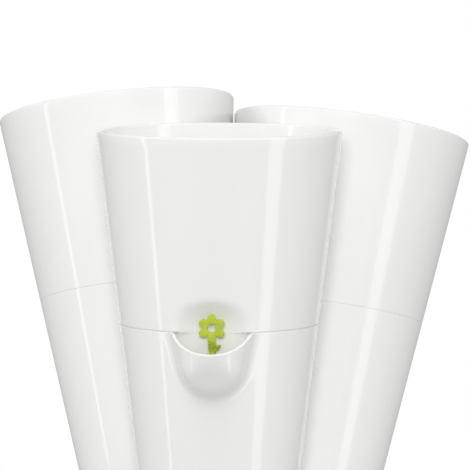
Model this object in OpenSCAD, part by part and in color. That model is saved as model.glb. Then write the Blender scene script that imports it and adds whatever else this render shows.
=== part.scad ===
// Self-watering herb planter: three leaning pots on one low stand, each with a water reservoir,
// a fill scoop and a flower-shaped float gauge.
// Millimetres. The origin is where the middle of the stand meets the table, Z up, front scoop toward -Y.
// Each pot is drawn upright about its own axis, with z = 0 where its reservoir meets the stand and
// its scoop toward -Y, and place() turns it, leans it and sets it on the stand.

/* [Overall size] */
// Outer diameter of each pot at its rim
rim_d = 130; // [115:1:150]
// Taper of the pot wall from its axis, in degrees
taper = 7; // [6:0.25:8]
// Height of the planting pot, from the seam to the rim
pot_h = 102; // [90:1:125]
// Height of the reservoir above the stand
tank_h = 102; // [88:1:115]
// How much higher each pot stands than the one before it
step_h = 10; // [0:1:18]
// Gap left between neighbouring pots
neighbour_gap = 0.9; // [0.6:0.1:4]
// How far the two rear pots are turned from facing outward to facing the back, in degrees
rear_turn = 40; // [0:1:60]

/* [Walls and fits] */
// Wall of the pots and reservoirs
wall = 2.4; // [1.8:0.1:3]
// Clearance between pieces that lift apart
fit_gap = 0.3; // [0.2:0.05:0.6]
// Small bevel on both edges of each seam
seam_bevel = 0.4; // [0.2:0.1:0.8]

/* [Planting pot] */
// Depth of the pot's spigot inside the reservoir
spigot_h = 14; // [10:0.5:14.5]
// Thickness of the pot's floor
pot_floor_t = 2.6; // [2:0.1:4]
// Depth of the hollow above the scoop, at the seam
recess_deep = 4.5; // [3.5:0.1:5]
// Radius of the hollow's upright curve
recess_r = 24.5; // [22:0.5:28]
// Radius of the hollow's level curve
recess_across = 100; // [80:1:140]
// Diameter of the drain holes
drain_d = 4; // [3:0.5:6]
// Distance of the drain holes from the pot's axis
drain_r = 27; // [24:0.5:29]

/* [Fill scoop] */
// Outer width of the scoop at the seam
scoop_w = 41.6; // [38:0.2:46]
// Distance of the scoop's axis inside the pot's surface
scoop_inset = 4; // [2:0.5:8]
// How far the scoop reaches below the seam
scoop_deep = 31.5; // [28:0.5:36]
// Radius of the scoop's round lower end
scoop_tip_r = 18; // [15:0.5:19]
// Wall of the scoop
scoop_wall = 1.6; // [1.4:0.1:2.4]
// Slope of the scoop's lip, in degrees
lip_slope = 33; // [26:1:40]

/* [Float gauge] */
// Outer diameter of the flower
flower_d = 14.8; // [12:0.2:17]
// Diameter of the hole in the flower
flower_hole_d = 4.4; // [3:0.2:5.5]
// Height of the flower's middle above the seam
flower_up = 3; // [1:0.5:5]
// Thickness of the gauge
gauge_t = 2.4; // [2:0.1:3]
// Width of the gauge's stem
stem_w = 4.5; // [4:0.1:6]
// Play between the stem and the wall of the hollow behind it
stem_play = 0.6; // [0.4:0.1:1]
// Length of the leaf
leaf_l = 6.4; // [5:0.1:8]
// Width of the leaf
leaf_w = 2.5; // [2:0.1:3.5]
// Distance of the leaf's foot below the bend under the flower
leaf_down = 5.9; // [4:0.1:7]
// Travel of the gauge from the photographed level up to full
gauge_rise = 1; // [0.5:0.5:2]
// Travel of the gauge from the photographed level down to empty
gauge_fall = 9.5; // [6:0.5:9.5]
// Diameter of the foam float
float_d = 25; // [20:0.5:26]
// Height of the foam float
float_h = 24; // [18:0.5:30]
// Free play of the float in its cage
float_play = 0.5; // [0.4:0.1:0.8]
// Wall of the float cage
cage_wall = 1.5; // [1.2:0.1:2]

/* [Wicks] */
// Thickness of the felt mat on the pot's floor
mat_t = 2.5; // [2:0.1:4]
// Thickness of a wick strip
wick_t = 2; // [1.5:0.1:3]
// Width of a wick strip
wick_w = 18; // [12:0.5:20]
// Distance of each wick strip from the pot's middle
wick_x = 22; // [19:0.5:24]
// Height of the wicks' lower ends above the reservoir's floor
wick_up = 5; // [3:0.5:8]

/* [Stand] */
// Depth of the reservoir's foot in the stand
foot_h = 14; // [10:0.5:18]
// Thinnest wall around a foot
stand_wall = 2.7; // [2.2:0.1:4]
// Thickness of the base plate
plate_t = 3; // [2.4:0.1:5]
// How far the base plate stands out round the sockets
plate_lip = 2; // [1:0.1:4]
// Diameter of the middle of the base plate
plate_mid_d = 80; // [74:1:100]
// Height of the lowest socket above the base plate
socket_up = 3; // [3:0.5:9]
// Thickness of the floor under a socket
stand_floor = 3; // [2:0.1:4]
// Depth of the flat that keys each foot in its socket
key_depth = 2.5; // [1.5:0.1:4]

/* [Hidden] */
$fn = 96;
rim_r = rim_d / 2;
total = pot_h + tank_h;
seam_z = tank_h;
function skin_r(z) = rim_r - (total - z) * tan(taper);

// Three equal cones about one upright axis touch their neighbours at this lean.
lean = asin(sin(taper) / cos(30));
cone_l = rim_r / tan(taper);
rim_circle_r = cone_l * sin(lean) + neighbour_gap / (2 * cos(30));
foot_circle_r = rim_circle_r - total * sin(lean);
foot_r = skin_r(-foot_h) - stand_wall - fit_gap;
first_z = plate_t + socket_up + (foot_h + fit_gap) * cos(lean) + (foot_r + fit_gap) * sin(lean);
stub_l = 2 * (first_z + 2 * step_h);
key_y = foot_r - key_depth;
function plate_at(i) = foot_circle_r - (first_z + i * step_h) * tan(lean);
function plate_r(i) = skin_r(-(first_z + i * step_h) / cos(lean)) / cos(lean) + plate_lip;

// Planting pot
spigot_z = seam_z - spigot_h;
soil_z = spigot_z + pot_floor_t;
step_in = 7;
round_z = total - wall / 2;
function spigot_r(z) = skin_r(z) - wall - fit_gap;
recess_y = skin_r(seam_z) - recess_deep + recess_across;
slot_gap = 0.5;
wick_y = 10;

// Fill scoop: a drafted cup with a round end, its straight side tangent to the round end
scoop_y = skin_r(seam_z) - scoop_inset;
scoop_r = sqrt(pow(scoop_w / 2, 2) + pow(scoop_inset, 2));
tip_z = scoop_deep - scoop_tip_r;
draft = acos(scoop_tip_r / norm([scoop_r, tip_z])) - atan2(tip_z, scoop_r);

// Float gauge, heights given from the seam
tank_floor_z = -foot_h + wall;
cage_in_r = float_d / 2 + float_play;
cage_out_r = cage_in_r + cage_wall;
ring_wall = 1.6;
ring_h = 5;
cage_y = foot_r - wall - cage_out_r - fit_gap - ring_wall - 0.4;
flower_y = skin_r(seam_z) + 1.5;
stem_y = skin_r(seam_z) - recess_deep + stem_play + gauge_t / 2;
slant_z = flower_up - flower_d / 2 + 0.4;
stem_z = slant_z - (flower_y - stem_y);
arm_t = 3;
arm_z = -spigot_h - gauge_rise - arm_t - 1.5;
slot_z = arm_z - gauge_fall - fit_gap;
cage_top = -spigot_h - 3;
peg_d = 4.4;
peg_l = float_h * 0.75;
petal_r = flower_d * 0.165;
petal_at = flower_d / 2 - petal_r;

POTS = ["front", "right", "left"];
own_turn = [0, rear_turn, -rear_turn];
KINDS = ["socket", "reservoir", "pot", "wick_mat", "wick_a", "wick_b", "gauge", "float", "float_cage"];

white = [0.94, 0.94, 0.93];
lime = [0.68, 0.77, 0.2];
felt = [0.78, 0.78, 0.75];
foam = [0.97, 0.96, 0.9];
clear_grey = [0.82, 0.84, 0.85];

// Turns an upright pot on its axis, leans it and sets it on the stand
module place(i) {
    rotate([0, 0, 120 * i])
        translate([0, -foot_circle_r, first_z + i * step_h])
            rotate([lean, 0, 0])
                rotate([0, 0, own_turn[i]])
                    children();
}

// Solid of the scoop, with its wall taken off for the inside
module scoop_body(off) {
    r = scoop_tip_r - off;
    top_r = scoop_r - off / cos(draft);
    join_z = tip_z + r * sin(draft);
    join_r = r * cos(draft);
    // The round end stands a hair proud of the straight side, so that the two cross at a clear point.
    cross = 0.05;
    translate([0, -scoop_y, seam_z]) {
        translate([0, 0, -join_z])
            cylinder(r1 = join_r, r2 = top_r, h = join_z);
        translate([0, 0, -tip_z])
            difference() {
                rotate([0, 90, 0])
                    sphere(r = r + cross);
                translate([-2 * r, -2 * r, 0])
                    cube([4 * r, 4 * r, 2 * r]);
            }
    }
}

// Everything of the scoop above its sloping lip
module lip_cut() {
    translate([0, -skin_r(seam_z), seam_z])
        rotate([lip_slope, 0, 0])
            translate([-scoop_w, -3 * scoop_r, 0])
                cube([2 * scoop_w, 3 * scoop_r, 2 * scoop_r]);
}

// Foot or socket with the flat that keys it
module keyed_foot(off, z0, z1) {
    difference() {
        translate([0, 0, z0])
            cylinder(r = foot_r + off, h = z1 - z0);
        translate([-foot_r, key_y + off, z0 - 1])
            cube([2 * foot_r, foot_r, z1 - z0 + 2]);
    }
}

module tank_skin() {
    difference() {
        rotate_extrude()
            polygon([
                [0, -foot_h],
                [foot_r, -foot_h],
                [foot_r, 0],
                [skin_r(0) - seam_bevel, 0],
                [skin_r(seam_bevel), seam_bevel],
                [skin_r(seam_z - seam_bevel), seam_z - seam_bevel],
                [skin_r(seam_z) - seam_bevel, seam_z],
                [0, seam_z]
            ]);
        translate([-foot_r, key_y, -foot_h - 1])
            cube([2 * foot_r, foot_r, foot_h + 1]);
    }
}

module tank_space() {
    rotate_extrude()
        polygon([
            [0, wall],
            [skin_r(wall) - wall, wall],
            [skin_r(seam_z + 1) - wall, seam_z + 1],
            [0, seam_z + 1]
        ]);
}

module reservoir() {
    color(white)
        union() {
            difference() {
                union() {
                    tank_skin();
                    scoop_body(0);
                }
                tank_space();
                keyed_foot(-wall, tank_floor_z, wall + 1);
                scoop_body(scoop_wall);
                lip_cut();
            }
            cage_ring();
        }
}

// Low ring on the reservoir's floor that holds the float cage
module cage_ring() {
    translate([0, -cage_y, tank_floor_z - wall / 2])
        difference() {
            cylinder(r = cage_out_r + fit_gap + ring_wall, h = ring_h + wall / 2);
            translate([0, 0, wall / 2])
                cylinder(r = cage_out_r + fit_gap, h = ring_h + 1);
        }
}

// The hollow above the scoop and its way down past the spigot, turned about an upright line before the pot
module recess(off) {
    middle = recess_across - recess_r;
    translate([0, -recess_y, seam_z])
        rotate_extrude() {
            square([middle, recess_r + off]);
            intersection() {
                translate([middle, 0])
                    circle(r = recess_r + off);
                translate([middle, 0])
                    square(recess_r + off + 1);
            }
            translate([0, -spigot_h - 1])
                square([recess_across + off, spigot_h + 1]);
        }
}

module pot_profile() {
    polygon([
        [0, spigot_z],
        [spigot_r(spigot_z), spigot_z],
        [spigot_r(seam_z), seam_z],
        [skin_r(seam_z) - seam_bevel, seam_z],
        [skin_r(seam_z + seam_bevel), seam_z + seam_bevel],
        [skin_r(round_z), round_z],
        [skin_r(round_z) - wall, round_z],
        [skin_r(seam_z + step_in) - wall, seam_z + step_in],
        [spigot_r(seam_z) - wall, seam_z],
        [spigot_r(soil_z) - wall, soil_z],
        [0, soil_z]
    ]);
    intersection() {
        translate([skin_r(round_z) - wall / 2, round_z])
            circle(d = wall);
        translate([0, round_z])
            square([rim_r + 1, wall]);
    }
}

// Where the wall behind the hollow may stand: inside the middle of the pot's own wall
module pot_inside() {
    rotate_extrude()
        polygon([
            [0, spigot_z],
            [spigot_r(spigot_z) - wall / 2, spigot_z],
            [spigot_r(seam_z) - wall / 2, seam_z],
            [skin_r(seam_z + step_in) - wall / 2, seam_z + step_in],
            [skin_r(total - step_in) - wall / 2, total - step_in],
            [0, total - step_in]
        ]);
}

module pot() {
    color(white)
        difference() {
            union() {
                rotate_extrude()
                    pot_profile();
                intersection() {
                    recess(wall);
                    pot_inside();
                }
            }
            recess(0);
            for (x = [-1, 1])
                translate([x * wick_x - wick_t / 2 - slot_gap, wick_y - wick_w / 2 - slot_gap, spigot_z - 1])
                    cube([wick_t + 2 * slot_gap, wick_w + 2 * slot_gap, pot_floor_t + 2]);
            for (a = [60, 90, 120, 240, 270, 300])
                rotate([0, 0, a])
                    translate([drain_r, 0, spigot_z - 1])
                        cylinder(d = drain_d, h = pot_floor_t + 2);
        }
}

// Felt disc on the pot's floor, cut round the wall of the hollow
module wick_mat() {
    color(felt)
        difference() {
            translate([0, 0, soil_z])
                cylinder(r = spigot_r(soil_z) - wall - 1, h = mat_t);
            recess(wall + 1);
        }
}

// Felt strip that hangs from the mat through its slot into the water
module wick(side) {
    color(felt)
        translate([side * wick_x - wick_t / 2, wick_y - wick_w / 2, tank_floor_z + wick_up])
            cube([wick_t, wick_w, soil_z - tank_floor_z - wick_up]);
}

module flower_outline() {
    circle(d = 2 * petal_at);
    for (k = [0:5])
        rotate(90 + 60 * k)
            translate([petal_at, 0])
                circle(r = petal_r);
}

// Front view of the gauge: flower, stem and leaf
module gauge_front() {
    difference() {
        translate([0, flower_up])
            flower_outline();
        translate([0, flower_up])
            circle(d = flower_hole_d);
    }
    polygon([
        [-stem_w * 0.42, arm_z - 1],
        [stem_w * 0.42, arm_z - 1],
        [stem_w / 2, flower_up - petal_at],
        [-stem_w / 2, flower_up - petal_at]
    ]);
    translate([0, slant_z - leaf_down])
        rotate(42)
            leaf_outline();
}

// A pointed leaf from two arcs
module leaf_outline() {
    half = leaf_l / 2;
    arc_r = half * half / leaf_w + leaf_w / 4;
    arc_y = arc_r - leaf_w / 2;
    intersection() {
        translate([half, arc_y])
            circle(r = arc_r);
        translate([half, -arc_y])
            circle(r = arc_r);
    }
}

// Side view of the gauge: flower plate, slanting stem, straight stem and the arm to the float
module gauge_side() {
    h = gauge_t / 2;
    k = h * tan(22.5);
    polygon([
        [-flower_y - h, flower_up + flower_d],
        [-flower_y - h, slant_z - k],
        [-stem_y - h, stem_z - k],
        [-stem_y - h, arm_z],
        [-cage_y + peg_d / 2, arm_z],
        [-cage_y + peg_d / 2, arm_z + arm_t],
        [-stem_y + h, arm_z + arm_t],
        [-stem_y + h, stem_z + k],
        [-flower_y + h, slant_z + k],
        [-flower_y + h, flower_up + flower_d]
    ]);
}

module gauge() {
    color(lime)
        translate([0, 0, seam_z])
            union() {
                intersection() {
                    rotate([90, 0, 0])
                        linear_extrude(height = 2 * rim_r)
                            gauge_front();
                    translate([-flower_d, 0, 0])
                        rotate([90, 0, 90])
                            linear_extrude(height = 2 * flower_d)
                                gauge_side();
                }
                translate([0, -cage_y, arm_z - peg_l])
                    cylinder(d = peg_d, h = peg_l + arm_t);
            }
}

module float_body() {
    e = 2.5;
    bore_r = peg_d / 2 + 0.1;
    bore_l = peg_l + 1;
    r = float_d / 2;
    color(foam)
        translate([0, -cage_y, seam_z + arm_z - float_h])
            rotate_extrude()
                difference() {
                    union() {
                        square([r - e, float_h]);
                        translate([0, e])
                            square([r, float_h - 2 * e]);
                        translate([r - e, e])
                            circle(r = e);
                        translate([r - e, float_h - e])
                            circle(r = e);
                    }
                    translate([0, float_h - bore_l])
                        square([bore_r, bore_l + 1]);
                }
}

// Slotted tube that guides the float, with windows for the water
module float_cage() {
    cage_h = seam_z + cage_top - tank_floor_z;
    slot_w = stem_w + 1;
    slot_from = seam_z + slot_z - tank_floor_z;
    win_w = cage_in_r * 0.75;
    win_from = ring_h + 3;
    color(clear_grey)
        translate([0, -cage_y, tank_floor_z])
            difference() {
                cylinder(r = cage_out_r, h = cage_h);
                translate([0, 0, -1])
                    cylinder(r = cage_in_r, h = cage_h + 2);
                translate([-slot_w / 2, -cage_out_r - 1, slot_from])
                    cube([slot_w, cage_out_r, cage_h]);
                for (a = [0, 90, 180])
                    rotate([0, 0, a])
                        translate([0, -win_w / 2, win_from])
                            cube([cage_out_r + 1, win_w, cage_h - win_from - 12]);
                rotate([0, 0, 270])
                    translate([0, -win_w / 2, win_from])
                        cube([cage_out_r + 1, win_w, slot_from - win_from - 6]);
            }
}

// The pots' cones carried on down to the table
module stub() {
    translate([0, 0, -stub_l])
        cylinder(r1 = skin_r(-stub_l), r2 = skin_r(-seam_bevel), h = stub_l - seam_bevel);
    translate([0, 0, -seam_bevel])
        cylinder(r1 = skin_r(-seam_bevel), r2 = skin_r(0) - seam_bevel, h = seam_bevel);
}

// Hollow under a socket
module stub_core() {
    z = -foot_h - fit_gap - stand_floor;
    translate([0, 0, -stub_l])
        cylinder(
            r1 = skin_r(-stub_l) - stand_wall,
            r2 = skin_r(z) - stand_wall,
            h = stub_l + z
        );
}

// Keyed socket for one reservoir, cut flat where it stands on the base plate
module socket(i) {
    side = 4 * rim_d;
    color(white)
        difference() {
            intersection() {
                place(i)
                    stub();
                translate([-side / 2, -side / 2, plate_t])
                    cube([side, side, side]);
            }
            place(i) {
                keyed_foot(fit_gap, -foot_h - fit_gap, 1);
                stub_core();
            }
        }
}

// Three joined discs that carry the sockets
module base_plate() {
    color(white)
        union() {
            for (i = [0:2])
                rotate([0, 0, 120 * i])
                    translate([0, -plate_at(i), 0])
                        cylinder(r = plate_r(i), h = plate_t);
            cylinder(d = plate_mid_d, h = plate_t);
        }
}

base_plate();
for (i = [0:2]) {
    socket(i);
    place(i) reservoir();
    place(i) pot();
    place(i) wick_mat();
    place(i) wick(-1);
    place(i) wick(1);
    place(i) gauge();
    place(i) float_body();
    place(i) float_cage();
}
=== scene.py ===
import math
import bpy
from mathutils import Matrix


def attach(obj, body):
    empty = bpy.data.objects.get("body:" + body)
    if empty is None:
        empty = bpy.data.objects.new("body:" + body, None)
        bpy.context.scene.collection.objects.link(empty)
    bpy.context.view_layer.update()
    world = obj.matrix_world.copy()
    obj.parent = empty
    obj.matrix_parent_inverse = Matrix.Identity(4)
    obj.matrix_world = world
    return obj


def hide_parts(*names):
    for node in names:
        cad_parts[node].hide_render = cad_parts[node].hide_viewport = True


bl_info = {
    "name": "Self-watering herb planter",
    "version": (1, 0, 0),
    "blender": (4, 5, 0),
    "location": "View3D > Sidebar > Planter",
    "description": "Dresses three leaning pots, their water tanks, flower gauges, wicks and stand",
    "category": "Add Mesh",
}

import bpy
import numpy as np
from bpy.props import FloatProperty, FloatVectorProperty, PointerProperty
from mathutils import Matrix, Vector

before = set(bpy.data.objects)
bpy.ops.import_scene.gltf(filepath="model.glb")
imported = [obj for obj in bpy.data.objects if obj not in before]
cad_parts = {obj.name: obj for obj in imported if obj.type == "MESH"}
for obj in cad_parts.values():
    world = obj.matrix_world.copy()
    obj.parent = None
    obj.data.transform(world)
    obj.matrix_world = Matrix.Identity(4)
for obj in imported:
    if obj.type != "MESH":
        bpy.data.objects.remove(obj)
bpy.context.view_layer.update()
POTS = ("front", "right", "left")
# Points of a mesh that lie closer than this, in metres, are merged.
WELD = 1e-6
FINE_WELD = 1e-7
# Smaller values than this count as none.
TINY = 1e-6
# Radius of a new ring before its points are set.
START_R = 0.01


def length(name, description, default):
    """A length in metres that a user may change."""
    return FloatProperty(
        name=name, description=description, default=default, min=0.0, precision=5, unit="LENGTH"
    )


def angle(name, description, degrees):
    """An angle that a user may change."""
    return FloatProperty(
        name=name, description=description, default=math.radians(degrees), subtype="ANGLE"
    )


def colour(name, description, default):
    """A finish colour that a user may change."""
    return FloatVectorProperty(
        name=name, description=description, default=default, size=3, min=0.0, max=1.0, subtype="COLOR"
    )


class PlanterSizes(bpy.types.PropertyGroup):
    """Sizes of the pots, tanks and stand."""

    rim_r: length("Rim radius", "Outer radius of each pot at its rim", 0.065)
    taper: angle("Taper", "Taper of the pot wall from its axis", 7.0)
    pot_h: length("Pot height", "Height from the seam to the rim", 0.102)
    tank_h: length("Tank height", "Height of the tank above the stand", 0.102)
    step_h: length("Step", "How much higher each pot stands than the one before it", 0.010)
    neighbour_gap: length("Gap", "Gap between neighbouring pots", 0.0009)
    rear_turn: angle("Rear turn", "How far the two rear pots are turned toward the back", 40.0)
    wall: length("Wall", "Wall of the pots and tanks", 0.0024)
    fit_gap: length("Clearance", "Clearance between pieces that lift apart", 0.0003)
    edge: length("Edge", "Rounding of the moulded edges", 0.0004)
    seam_slot: length("Seam slot", "Height of the shadow gap at the front seam", 0.0004)
    rear_edge: length("Rear edge", "Rounding of the edges at the rear seams", 0.0001)
    rear_slot: length("Rear seam slot", "Height of the shadow gap at the rear seams", 0.00003)
    spigot_h: length("Spigot", "Depth of the pot's spigot inside the tank", 0.014)
    pot_floor: length("Pot floor", "Thickness of the pot's floor", 0.0026)
    foot_h: length("Foot", "Depth of the tank's foot in the stand", 0.014)
    key_depth: length("Key", "Depth of the flat that keys each foot", 0.0025)
    stand_wall: length("Stand wall", "Thinnest wall around a foot", 0.0027)
    stand_floor: length("Stand floor", "Thickness of the floor under a socket", 0.003)
    socket_up: length("Socket height", "Height of the lowest socket above the base plate", 0.003)
    plate_t: length("Plate", "Thickness of the base plate", 0.003)
    plate_lip: length("Plate lip", "How far the base plate stands out round the sockets", 0.002)
    plate_mid_r: length("Plate middle", "Radius of the middle of the base plate", 0.040)


class PocketSizes(bpy.types.PropertyGroup):
    """Sizes of the fill pocket: the hollow above the seam and the scoop below it."""

    hollow_deep: length("Hollow depth", "Depth of the hollow above the scoop, at the seam", 0.0045)
    hollow_r: length("Hollow curve", "Radius of the hollow's upright curve", 0.0245)
    hollow_across: length("Hollow level curve", "Radius of the hollow's level curve", 0.100)
    hollow_soft: length("Hollow softness", "Width over which the hollow's edge is rounded", 0.0025)
    scoop_w: length("Scoop width", "Outer width of the scoop at the seam", 0.0416)
    scoop_inset: length("Scoop inset", "Distance of the scoop's axis inside the skin", 0.004)
    scoop_deep: length("Scoop depth", "How far the scoop reaches below the seam", 0.0315)
    scoop_tip_r: length("Scoop tip", "Radius of the scoop's round lower end", 0.018)
    scoop_wall: length("Scoop wall", "Wall of the scoop", 0.0016)
    scoop_soft: length("Scoop softness", "Width over which the scoop runs into the skin at the seam", 0.0065)
    tip_soft: length("Tip softness", "Width over which the scoop's lower end runs into the skin", 0.015)
    front_lean: angle("Front lean", "Lean of the scoop's front from upright", 34.0)
    front_out: length("Front set-out", "Distance of the leaning front from the skin at the seam", 0.0235)
    front_soft: length("Front softness", "Width over which the leaning front is rounded", 0.005)
    lip_slope: angle("Lip slope", "Slope of the scoop's lip", 33.0)


class GaugeSizes(bpy.types.PropertyGroup):
    """Sizes of the flower gauge, its float and its guide."""

    flower_r: length("Flower radius", "Outer radius of the flower", 0.0074)
    hole_r: length("Hole radius", "Radius of the hole in the flower", 0.0022)
    flower_up: length("Flower height", "Height of the flower's middle above the seam", 0.003)
    thick: length("Thickness", "Thickness of the gauge", 0.0024)
    stem_w: length("Stem width", "Width of the stem under the flower", 0.0047)
    stem_low_w: length("Lower stem width", "Width of the stem where it enters the tank", 0.0036)
    stem_play: length("Stem play", "Play between the stem and the wall of the hollow", 0.0006)
    leaf_l: length("Leaf length", "Length of the leaf", 0.0064)
    leaf_w: length("Leaf width", "Width of the leaf", 0.0025)
    leaf_down: length("Leaf place", "Distance of the leaf's foot below the bend under the flower", 0.0059)
    rise: length("Rise", "Travel of the gauge up to full", 0.001)
    float_r: length("Float radius", "Radius of the foam float", 0.0125)
    float_h: length("Float height", "Height of the foam float", 0.024)
    float_play: length("Float play", "Free play of the float in its cage", 0.0005)
    cage_wall: length("Cage wall", "Wall of the float cage", 0.0015)


class WickSizes(bpy.types.PropertyGroup):
    """Sizes of the felt that carries the water up."""

    mat_t: length("Mat", "Thickness of the felt mat", 0.0025)
    strip_t: length("Strip thickness", "Thickness of a wick strip", 0.002)
    strip_w: length("Strip width", "Width of a wick strip", 0.018)
    strip_x: length("Strip place", "Distance of each strip from the pot's middle", 0.022)
    strip_y: length("Strip set-back", "Distance of the strips behind the pot's middle", 0.010)
    strip_up: length("Strip end", "Height of the strips' lower ends above the tank floor", 0.005)


class PlanterFinish(bpy.types.PropertyGroup):
    """Colours of the planter and its stage."""

    white: colour("White plastic", "Glossy white of the pots, tanks and stand", (0.94, 0.94, 0.928))
    lime: colour("Lime plastic", "Lime of the flower gauge", (0.495, 0.605, 0.05))
    felt: colour("Felt", "Grey-white wick felt", (0.56, 0.56, 0.53))
    foam: colour("Foam", "Off-white bead foam", (0.86, 0.84, 0.76))
    frosted: colour("Frosted plastic", "Grey of the float cage", (0.62, 0.66, 0.68))
    floor: colour("Floor", "Pale floor", (0.82, 0.82, 0.81))


class Layout:
    """Every place that follows from the sizes, in one pot's own upright frame."""

    def __init__(self, scene):
        s, p, g, w = scene.planter_sizes, scene.planter_pocket, scene.planter_gauge, scene.planter_wick
        self.s, self.p, self.g, self.w = s, p, g, w
        # The share of a pot's lean that points at its neighbour, with three pots in a ring.
        toward = math.cos(math.radians(30))
        ring_play = 0.0004
        flower_out = 0.0015
        flower_lap = 0.0004
        arm_play = 0.0015
        peg_share = 0.75
        gauge_inset = 0.0001
        self.tan_taper = math.tan(s.taper)
        self.cos_taper = math.cos(s.taper)
        self.total = s.pot_h + s.tank_h
        self.seam = s.tank_h
        self.lean = math.asin(math.sin(s.taper) / toward)
        cone_l = s.rim_r / self.tan_taper
        rim_circle = cone_l * math.sin(self.lean) + s.neighbour_gap / (2 * toward)
        self.foot_circle = rim_circle - self.total * math.sin(self.lean)
        self.foot_r = self.skin_r(-s.foot_h) - s.stand_wall - s.fit_gap
        socket_depth = (s.foot_h + s.fit_gap) * math.cos(self.lean)
        socket_dip = (self.foot_r + s.fit_gap) * math.sin(self.lean)
        self.first_z = s.plate_t + s.socket_up + socket_depth + socket_dip
        self.key_y = self.foot_r - s.key_depth
        self.spigot_z = self.seam - s.spigot_h
        self.soil_z = self.spigot_z + s.pot_floor
        self.tank_floor = -s.foot_h + s.wall
        self.seam_r = self.skin_r(self.seam)
        self.hollow_y = self.seam_r - p.hollow_deep + p.hollow_across
        self.scoop_y = self.seam_r - p.scoop_inset
        scoop_r = math.hypot(p.scoop_w / 2, p.scoop_inset)
        self.tip_z = p.scoop_deep - p.scoop_tip_r
        reach = math.hypot(scoop_r, self.tip_z)
        self.draft = math.acos(p.scoop_tip_r / reach) - math.atan2(self.tip_z, scoop_r)
        self.ring_r = g.float_r + g.float_play + g.cage_wall + s.fit_gap
        self.ring_wall = 0.0016
        self.ring_h = 0.005
        self.cage_y = self.foot_r - s.wall - self.ring_r - self.ring_wall - ring_play
        self.gauge_half = g.thick / 2 - gauge_inset
        self.flower_y = self.seam_r + flower_out
        self.stem_y = self.seam_r - p.hollow_deep + g.stem_play + g.thick / 2
        self.slant_z = g.flower_up - g.flower_r + flower_lap
        self.stem_z = self.slant_z - (self.flower_y - self.stem_y)
        self.arm_t = 0.003
        self.arm_z = -s.spigot_h - g.rise - self.arm_t - arm_play
        self.peg_r = 0.0022
        self.peg_l = g.float_h * peg_share
        self.felt_play = 0.001
        self.mat_r = self.spigot_r(self.soil_z) - s.wall - self.felt_play

    def skin_r(self, z):
        """Outer radius of the cone at a height."""
        return self.s.rim_r - (self.total - z) * self.tan_taper

    def spigot_r(self, z):
        """Outer radius of the pot's spigot at a height."""
        return self.skin_r(z) - self.s.wall - self.s.fit_gap

    def lift(self, index):
        """Height of a tank's lower edge above the table, on its axis."""
        return self.first_z + index * self.s.step_h

    def own_turn(self, index):
        """How far a pot is turned on its own axis."""
        return (0.0, self.s.rear_turn, -self.s.rear_turn)[index]

    def place(self, index):
        """Turns an upright pot on its axis, leans it and sets it on the stand."""
        around = Matrix.Rotation(math.radians(120 * index), 4, "Z")
        shift = Matrix.Translation((0.0, -self.foot_circle, self.lift(index)))
        turned = Matrix.Rotation(self.own_turn(index), 4, "Z")
        return around @ shift @ Matrix.Rotation(self.lean, 4, "X") @ turned


def soft_max(a, b, width):
    """The larger of two distances, rounded where they are close."""
    blend = np.clip(width - np.abs(a - b), 0.0, None) / width
    return np.maximum(a, b) + blend**3 * width / 6


def soft_min(a, b, width):
    """The smaller of two distances, rounded where they are close."""
    return -soft_max(-a, -b, width)


def ease(value, low, high):
    """A smooth step from 0 to 1."""
    t = np.clip((value - low) / (high - low), 0.0, 1.0)
    return t * t * (3 - 2 * t)


def crossing(field, low, high, halvings=44):
    """Where a field turns from inside to outside between two values, by halving."""
    for _ in range(halvings):
        middle = (low + high) / 2
        outside = field(middle) > 0
        high = np.where(outside, middle, high)
        low = np.where(outside, low, middle)
    return (low + high) / 2


def hollow_gap(n, x, y, z, grow):
    """Distance to the shallow hollow and to its way down below the seam."""
    across = np.hypot(x, y + n.hollow_y) - n.p.hollow_across + n.p.hollow_r
    up = np.maximum(z - n.seam, 0.0)
    return np.hypot(across, up) - n.p.hollow_r - grow


def pressed_r(n, turn, base, z, grow, soft):
    """Radius of a turned wall, along each direction, with the hollow pressed into it."""
    reach_in, reach_out = 0.03, 0.002

    def field(r):
        hollow = hollow_gap(n, r * np.sin(turn), -r * np.cos(turn), z, grow)
        return soft_max((r - base) * n.cos_taper, -hollow, soft)

    low = np.full_like(turn, base - reach_in)
    return crossing(field, low, np.full_like(turn, base + reach_out))


def scoop_gap(n, x, y, z, inset):
    """Distance to the drafted scoop with its round end."""
    across = np.hypot(x, y + n.scoop_y)
    up = z - n.seam + n.tip_z
    along = across * math.sin(n.draft) + up * math.cos(n.draft)
    side = across * math.cos(n.draft) - up * math.sin(n.draft)
    cup = np.where(along > 0, side, np.hypot(across, up)) - (n.p.scoop_tip_r - inset)
    out = -y - n.seam_r - n.p.front_out
    front = out * math.cos(n.p.front_lean) + (n.seam - z) * math.sin(n.p.front_lean) + inset
    return soft_max(cup, front, n.p.front_soft)


def swollen_r(n, turn, base, z, inset):
    """Radius of the tank's wall, along each direction, with the scoop swelling out of it."""
    p = n.p
    reach_in, reach_all = 0.01, 0.04
    # The scoop's lower end runs into the skin more softly than its sides do.
    tip_start, tip_full = p.scoop_deep / 3, p.scoop_deep * 0.85
    side_start, side_full, side_loss = 0.12, 0.40, 0.85
    low = ease(n.seam - z, tip_start, tip_full)
    middle = 1.0 - side_loss * ease(np.abs(turn), side_start, side_full)
    soft = p.scoop_soft + (p.tip_soft - p.scoop_soft) * low * middle

    def field(r):
        scoop = scoop_gap(n, r * np.sin(turn), -r * np.cos(turn), z, inset)
        return soft_min((r - base) * n.cos_taper, scoop, soft)

    near = np.zeros_like(turn) + base - reach_in
    return crossing(field, near, near + reach_all)


def turns(coarse, spans):
    """Directions round the axis, close together across the front and wider round the back."""
    half = [0.0]
    for end, step in (*spans, (math.pi, coarse)):
        count = max(1, round((end - half[-1]) / step))
        half += list(np.linspace(half[-1], end, count + 1)[1:])
    return np.array([-t for t in half[:0:-1]] + half)


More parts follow.
